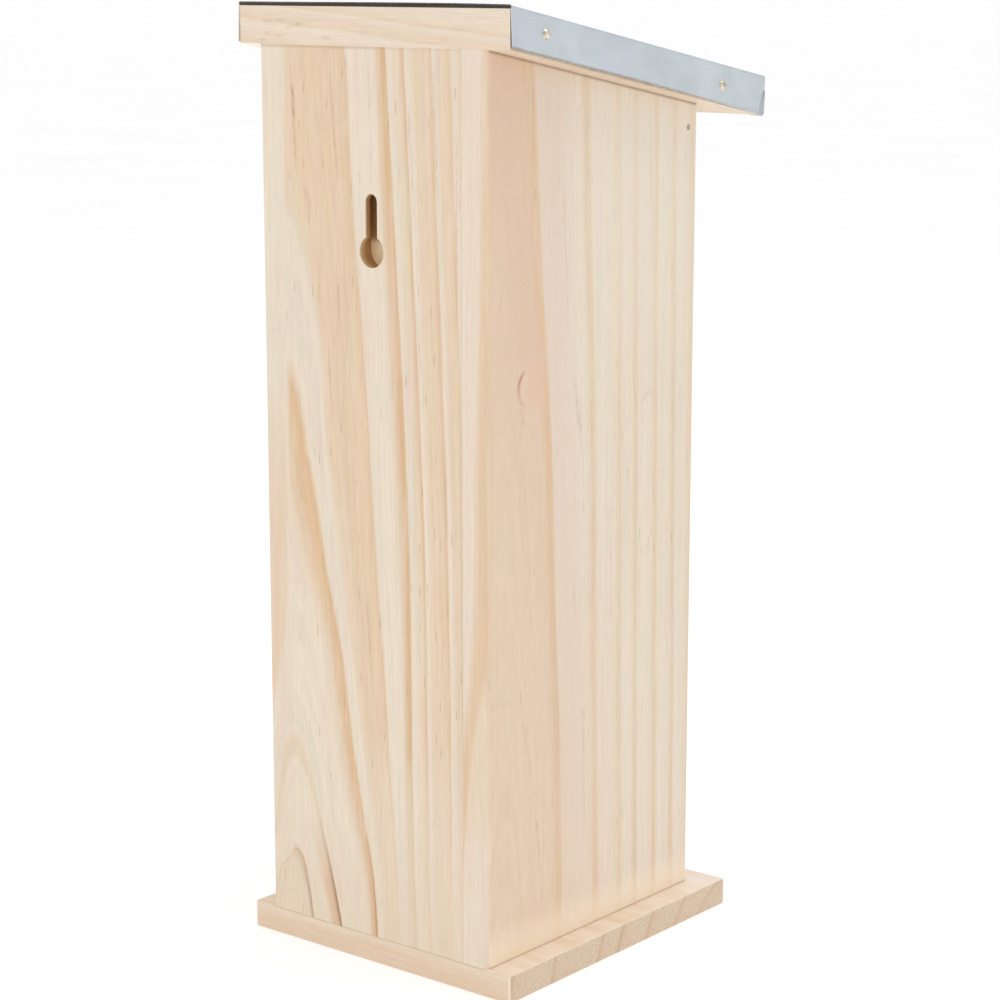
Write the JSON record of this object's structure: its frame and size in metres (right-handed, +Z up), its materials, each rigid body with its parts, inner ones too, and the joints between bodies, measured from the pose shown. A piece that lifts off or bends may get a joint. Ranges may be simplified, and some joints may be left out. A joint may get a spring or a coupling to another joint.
{
  "type": "bee hotel",
  "caption": "Narrow wooden bee hotel with a sloping sheet-covered roof, a keyhole back for hanging, bays of hollow canes and a framed front that swings up on pivot nails.",
  "frame": {"origin": "middle of the base plate's underside", "axes": "+Z up, +Y to the back (the hanging face), -Y to the front, +X to the right of someone who faces the front"},
  "size_m": [0.123, 0.1457, 0.3347],
  "materials": {
    "pine": "planed, unfinished",
    "bamboo": "dry cane",
    "zinc": "galvanised, dull",
    "felt": "bitumen felt",
    "brass": "plated",
    "steel": "bright zinc plated"
  },
  "bodies": {
    "housing": {"base_plate": "pine", "back_panel": "pine", "left_side_panel": "pine", "right_side_panel": "pine", "roof_board": "pine", "lower_shelf": "pine", "upper_shelf": "pine", "bottom_bay_slim_canes": "bamboo", "bottom_bay_wide_canes": "bamboo", "middle_bay_slim_canes": "bamboo", "middle_bay_wide_canes": "bamboo", "top_bay_slim_canes": "bamboo", "top_bay_wide_canes": "bamboo", "base_screws": "steel", "roof_board_nails": "steel", "left_pivot_nail": "steel", "right_pivot_nail": "steel", "roof_underlay": "felt", "roof_sheet": "zinc", "roof_sheet_nails": "brass"},
    "front_frame": {"door_left_stile": "pine", "door_right_stile": "pine", "door_top_rail": "pine", "door_upper_rail": "pine", "door_lower_rail": "pine", "door_bottom_rail": "pine"}
  },
  "joints": [
    {"name": "front_frame_swing", "type": "hinge", "parent": "housing", "child": "front_frame", "pos_m": [0, -0.04725, 0.291], "axis": [-1, 0, 0], "range_deg": [0, 84]}
  ]
}
